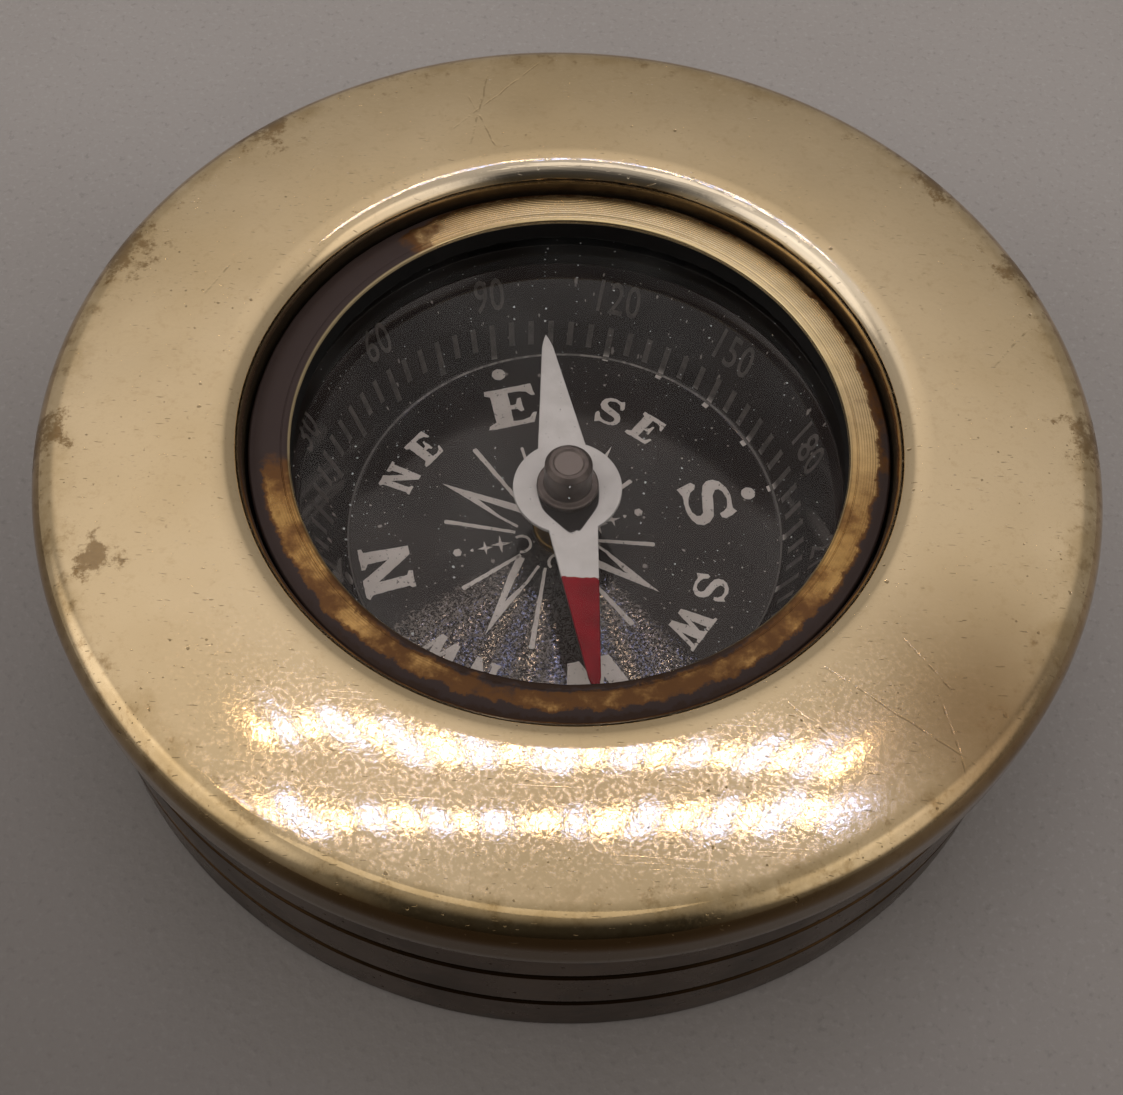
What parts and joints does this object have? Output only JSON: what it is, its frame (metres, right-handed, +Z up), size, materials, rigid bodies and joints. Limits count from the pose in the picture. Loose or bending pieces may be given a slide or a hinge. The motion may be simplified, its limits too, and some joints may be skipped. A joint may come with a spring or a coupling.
{
  "type": "paperweight compass",
  "caption": "Round turned brass paperweight with a domed cover ring, grooved side and a glazed compass capsule with a free-turning needle over a dished degree dial.",
  "frame": {"origin": "centre of the underside, on the surface that the paperweight stands on", "axes": "+Z up along the axis of the drum and the needle's pivot; -Y towards the picture's camera, +X to the picture's right"},
  "size_m": [0.076, 0.076, 0.022],
  "materials": {
    "polished_brass": "polished, with fine scratches, pits and a few brown tarnish spots",
    "side_brass": "turned, lightly tarnished",
    "tarnished_brass": "turned, heavily tarnished at both edges",
    "blacked_brass": "chemically blacked",
    "gasket_paper": "black gasket paper, matt",
    "clear_glass": "clear flat glass with dust",
    "dial_enamel": "black enamel with an off-white print",
    "pin_steel": "ground steel",
    "needle_paint": "white paint, red on one arm",
    "cap_brass": "dark patina",
    "agate": "polished brown agate"
  },
  "bodies": {
    "root": {"drum_body": "side_brass", "cover_ring": "polished_brass", "bezel_ring": "tarnished_brass", "capsule_cup": "blacked_brass", "spacer_ring": "blacked_brass", "glass_gasket": "gasket_paper", "glass": "clear_glass", "dial_plate": "dial_enamel", "pivot_post": "side_brass", "pivot_pin": "pin_steel"},
    "needle": {"needle_blade": "needle_paint", "needle_cap": "cap_brass", "cap_jewel": "agate"}
  },
  "joints": [
    {"name": "needle_pivot", "type": "hinge", "parent": "root", "child": "needle", "pos_m": [0, 0, 0.01475], "axis": [0, 0, 1], "continuous": true}
  ]
}
